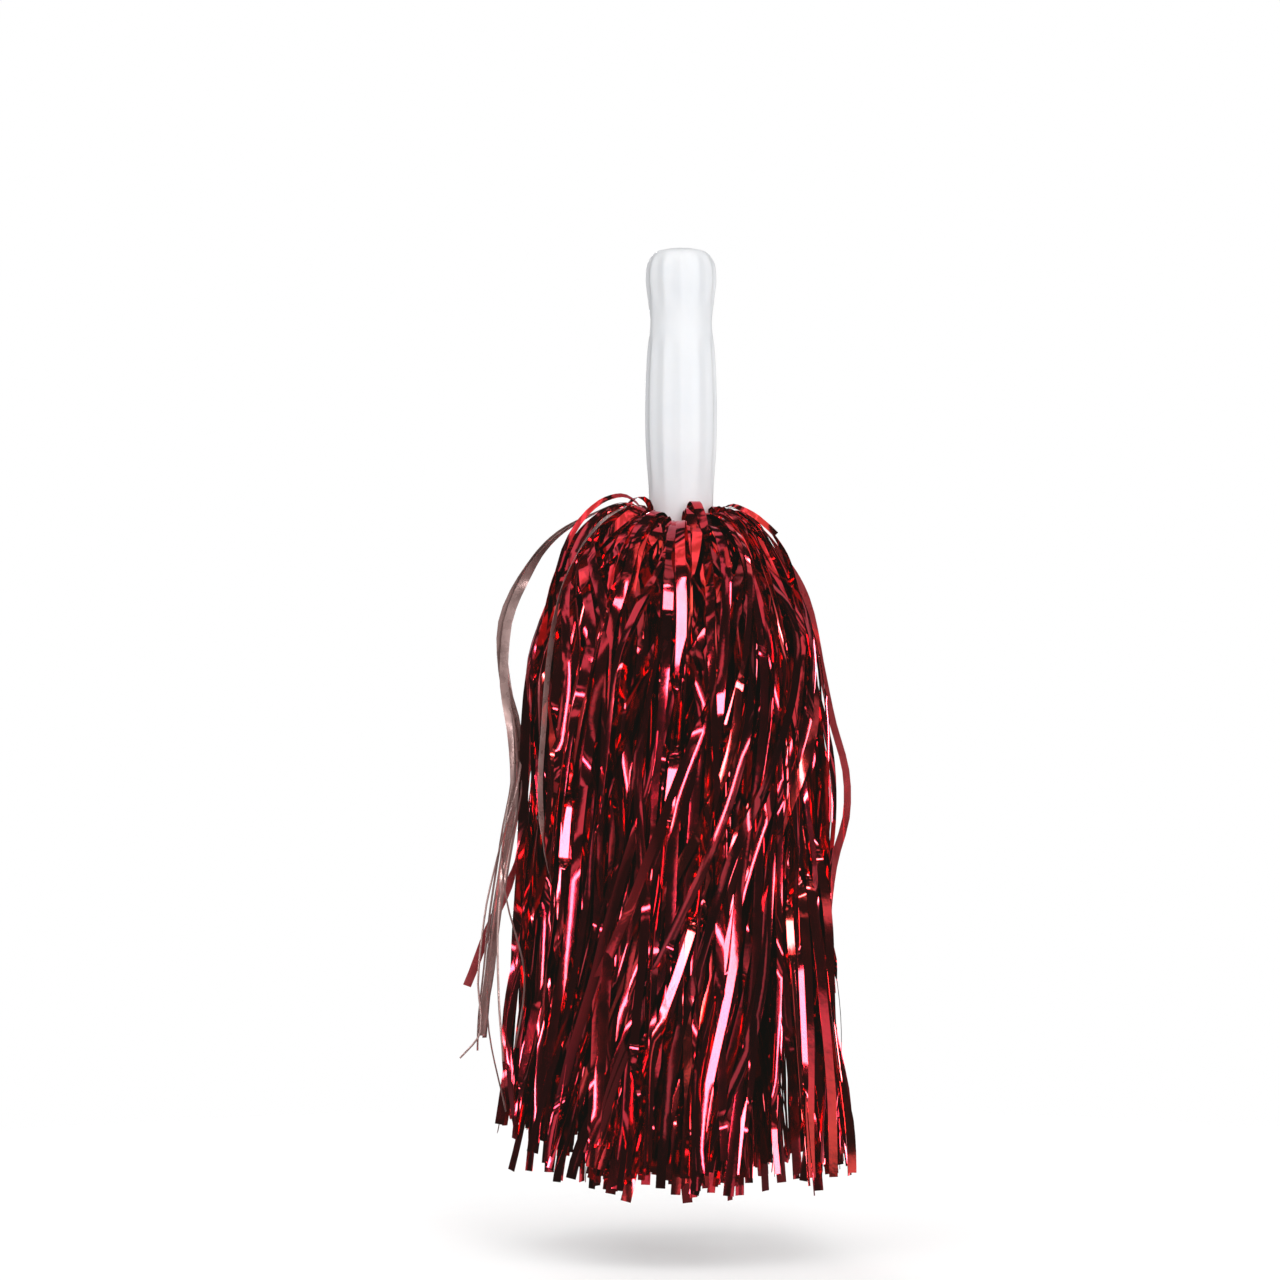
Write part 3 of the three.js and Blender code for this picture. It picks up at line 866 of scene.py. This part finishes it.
def floor():
    """A pale disc below the hanging fringe, which shows its shadow and fades out with distance."""
    rings, columns, reach = 24, 64, 1000
    height = cad_bounds[0].z / MM - FLOOR_GAP
    vertices = [(0, 0, height)]
    for i in range(1, rings + 1):
        for j in range(columns):
            t = j * 2 * math.pi / columns
            vertices.append((reach * i / rings * math.cos(t), reach * i / rings * math.sin(t), height))
    faces = [(0, 1 + j, 1 + (j + 1) % columns) for j in range(columns)]
    for i in range(rings - 1):
        for j in range(columns):
            a, b = 1 + i * columns + j, 1 + i * columns + (j + 1) % columns
            faces.append((a, a + columns, b + columns, b))
    material, tree, shader = nodes_of("pale_floor")
    shader.inputs["Base Color"].default_value = (0.92, 0.92, 0.92, 1)
    shader.inputs["Roughness"].default_value = 0.9
    shader.inputs["Emission Color"].default_value = (1, 1, 1, 1)
    shader.inputs["Emission Strength"].default_value = 0.25
    place = add_node(tree, "ShaderNodeTexCoord")
    length = add_node(tree, "ShaderNodeVectorMath", operation="LENGTH")
    flat = add_node(tree, "ShaderNodeVectorMath", operation="MULTIPLY")
    flat.inputs[1].default_value = (1, 1, 0)
    tree.links.new(place.outputs["Object"], flat.inputs[0])
    tree.links.new(flat.outputs["Vector"], length.inputs[0])
    fade = spread(tree, length.outputs["Value"], 1.0, 0.0, 0.08, 0.55)
    # The film mirrors only a little of it, or the fringe would look dull from above.
    rays = add_node(tree, "ShaderNodeLightPath")
    mirrored = spread(tree, rays.outputs["Is Glossy Ray"], 1.0, 0.25, 0.0, 1.0)
    alpha = add_node(tree, "ShaderNodeMath", operation="MULTIPLY")
    tree.links.new(fade, alpha.inputs[0])
    tree.links.new(mirrored, alpha.inputs[1])
    tree.links.new(alpha.outputs["Value"], shader.inputs["Alpha"])
    obj = new_object("floor", vertices, faces, [material])


floor()

middle = np.array([0, 0, (cad_bounds[0].z + cad_bounds[1].z) / 2])


def softbox(name, azimuth, elevation, distance, width, height, brightness, colour, seen):
    """A rectangular light aimed at the object, in metres. Azimuth 0 stands on +X and -90 in front of it.

    A light seen by "film" is only mirrored, and one seen by "plastic" only lights dull surfaces.
    """
    a, e = math.radians(azimuth), math.radians(elevation)
    back = np.array([math.cos(a) * math.cos(e), math.sin(a) * math.cos(e), math.sin(e)])
    data = bpy.data.lights.new(name, "AREA")
    data.shape = "RECTANGLE"
    data.size, data.size_y = width, height
    data.energy = brightness * width * height * math.pi
    data.color = colour
    obj = bpy.data.objects.new(name, data)
    obj.location = middle + back * distance
    obj.rotation_mode = "QUATERNION"
    obj.rotation_quaternion = Vector(back).to_track_quat("Z", "Y")
    obj.visible_camera = False
    obj.visible_diffuse = seen != "film"
    obj.visible_glossy = seen != "plastic"
    bpy.context.scene.collection.objects.link(obj)


COOL, NEUTRAL, WARM = (0.93, 0.96, 1.0), (1.0, 1.0, 1.0), (1.0, 0.82, 0.58)

# Each row is what softbox takes. The film mirrors narrow lights and a warm broad one above, and the
# plastic is lit by broad white ones.
LIGHTS = [
    ("key", -76, 6, 1.35, 0.09, 0.72, 21, NEUTRAL, "film"),
    ("soft_key", -76, 12, 1.35, 0.5, 0.72, 7.0, NEUTRAL, "plastic"),
    ("left_glint", -138, 2, 1.3, 0.08, 0.72, 20, COOL, "film"),
    ("right_glint", -36, 2, 1.3, 0.09, 0.72, 20, NEUTRAL, "film"),
    ("overhead", -100, 62, 1.2, 1.2, 0.9, 1.0, NEUTRAL, "plastic"),
    ("warm_overhead", -100, 62, 1.15, 1.2, 0.9, 0.98, WARM, "film"),
    ("back_left_glint", 150, 4, 1.3, 0.09, 0.72, 20, COOL, "film"),
    ("back_key", 100, 8, 1.35, 0.10, 0.72, 21, NEUTRAL, "film"),
    ("soft_back", 100, 12, 1.35, 0.5, 0.72, 7.0, NEUTRAL, "plastic"),
    ("back_right_glint", 40, 4, 1.3, 0.09, 0.72, 20, NEUTRAL, "film"),
]
for row in LIGHTS:
    softbox(*row)


def world():
    """White to the camera; a dim room to everything else, so that the film has darkness to reflect."""
    sky = bpy.data.worlds.new("studio")
    sky.use_nodes = True
    tree = sky.node_tree
    tree.nodes.clear()
    place = add_node(tree, "ShaderNodeTexCoord")
    patches = add_node(tree, "ShaderNodeTexNoise", Scale=4.5, Detail=2.0)
    tree.links.new(place.outputs["Generated"], patches.inputs["Vector"])
    # There are more bright patches towards the ceiling and the floor than at eye level.
    parts = add_node(tree, "ShaderNodeSeparateXYZ")
    tree.links.new(place.outputs["Generated"], parts.inputs[0])
    height = add_node(tree, "ShaderNodeMath", operation="ABSOLUTE")
    tree.links.new(parts.outputs["Z"], height.inputs[0])
    raised = add_node(tree, "ShaderNodeMath", operation="MULTIPLY_ADD")
    raised.inputs[1].default_value = 0.08
    tree.links.new(height.outputs[0], raised.inputs[0])
    tree.links.new(patches.outputs["Fac"], raised.inputs[2])
    room = spread(tree, raised.outputs[0], 0.02, 1.0, 0.57, 0.64)
    dim = add_node(tree, "ShaderNodeBackground")
    tree.links.new(room, dim.inputs["Strength"])
    soft = add_node(tree, "ShaderNodeBackground", Strength=0.52)
    white = add_node(tree, "ShaderNodeBackground", Strength=1.0)
    for node in (dim, soft, white):
        node.inputs["Color"].default_value = (1, 1, 1, 1)
    rays = add_node(tree, "ShaderNodeLightPath")
    by_gloss = add_node(tree, "ShaderNodeMixShader")
    by_camera = add_node(tree, "ShaderNodeMixShader")
    out = add_node(tree, "ShaderNodeOutputWorld")
    tree.links.new(rays.outputs["Is Glossy Ray"], by_gloss.inputs[0])
    tree.links.new(soft.outputs[0], by_gloss.inputs[1])
    tree.links.new(dim.outputs[0], by_gloss.inputs[2])
    tree.links.new(rays.outputs["Is Camera Ray"], by_camera.inputs[0])
    tree.links.new(by_gloss.outputs[0], by_camera.inputs[1])
    tree.links.new(white.outputs[0], by_camera.inputs[2])
    tree.links.new(by_camera.outputs[0], out.inputs[0])
    bpy.context.scene.world = sky


def camera():
    """A long lens straight in front of the object, looking level, with a faint haze in its blacks."""
    scene = bpy.context.scene
    scene.view_settings.view_transform = "Standard"
    scene.view_settings.use_curve_mapping = True
    scene.view_settings.curve_mapping.black_level = (-0.006, -0.006, -0.005)
    data = bpy.data.cameras.new("camera")
    data.lens, data.sensor_width = LENS, SENSOR
    obj = bpy.data.objects.new("camera", data)
    obj.location = Vector(CAMERA_SPOT) * MM
    obj.rotation_euler = (math.radians(90), 0, 0)
    scene.collection.objects.link(obj)
    bpy.context.scene.camera = obj


world()
camera()
